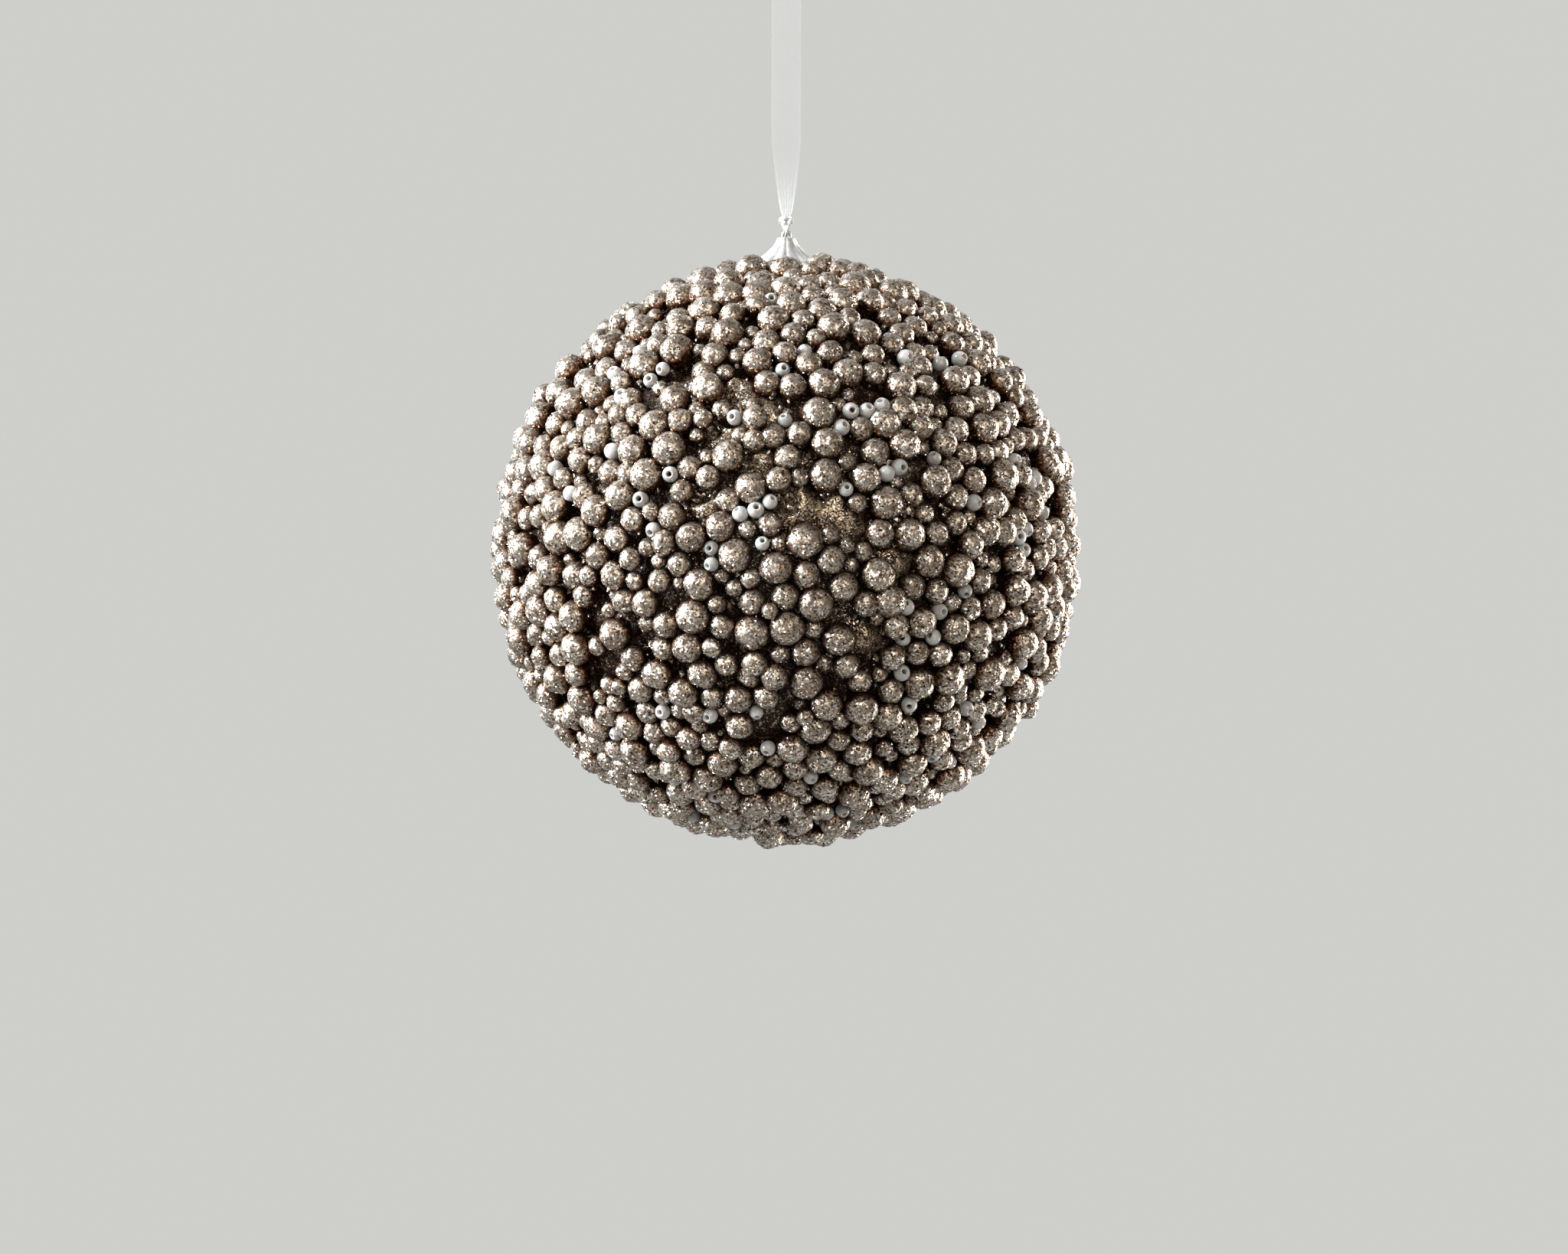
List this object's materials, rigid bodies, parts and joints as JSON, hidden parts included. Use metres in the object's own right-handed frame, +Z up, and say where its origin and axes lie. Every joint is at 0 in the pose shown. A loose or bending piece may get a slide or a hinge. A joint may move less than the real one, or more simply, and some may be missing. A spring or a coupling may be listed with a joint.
{
  "type": "ball ornament",
  "caption": "Round hanging ornament: a hollow glass ball covered with glittered beads, with a fluted cap, a sprung wire clip and a sheer ribbon loop.",
  "frame": {"origin": "the point under the top bend of the ribbon loop, where a hook or twig carries the ornament", "axes": "+Z up along the ribbon and the ball's axis, +X to the right seen from the front, front towards -Y"},
  "size_m": [0.0991, 0.1003, 0.1484],
  "materials": {
    "clear_glass": "clear blown glass",
    "tinted_glue": "dark brown set glue with glitter dust",
    "glitter_bead": "taupe champagne glitter crust on round beads",
    "seed_glass": "milky clear glass, fire polished",
    "silver_cap": "bright silver, stamped",
    "spring_steel": "bright drawn wire",
    "organza": "sheer white woven ribbon"
  },
  "bodies": {
    "ribbon": {"ribbon_loop": "organza"},
    "knot": {"ribbon_knot": "organza"},
    "cap": {"fluted_cap": "silver_cap", "spring_clip": "spring_steel"},
    "ball": {"glass_ball": "clear_glass", "glue_coat": "tinted_glue", "bead_cover": "glitter_bead", "collar_bead_01": "glitter_bead", "collar_bead_02": "glitter_bead", "collar_bead_03": "glitter_bead", "collar_bead_04": "glitter_bead", "collar_bead_05": "glitter_bead", "collar_bead_06": "glitter_bead", "collar_bead_07": "glitter_bead", "collar_bead_08": "glitter_bead", "collar_bead_09": "glitter_bead", "collar_bead_10": "glitter_bead", "seed_bead_01": "seed_glass", "seed_bead_02": "seed_glass", "seed_bead_03": "seed_glass", "seed_bead_04": "seed_glass", "seed_bead_05": "seed_glass", "seed_bead_06": "seed_glass", "seed_bead_07": "seed_glass", "seed_bead_08": "seed_glass", "seed_bead_09": "seed_glass", "seed_bead_10": "seed_glass", "seed_bead_11": "seed_glass", "seed_bead_12": "seed_glass", "seed_bead_13": "seed_glass", "seed_bead_14": "seed_glass", "seed_bead_15": "seed_glass"}
  },
  "joints": [
    {"name": "ribbon_twist", "type": "hinge", "parent": "ribbon", "child": "knot", "pos_m": [0, 0, -0.0408], "axis": [0, 0, 1], "range_deg": [-180, 180]},
    {"name": "cap_swing", "type": "hinge", "parent": "knot", "child": "cap", "pos_m": [0, 0, -0.0435], "axis": [1, 0, 0], "range_deg": [-45, 45]},
    {"name": "ball_pull", "type": "slide", "parent": "cap", "child": "ball", "axis": [0, 0, -1], "range_m": [0, 0.016]}
  ]
}
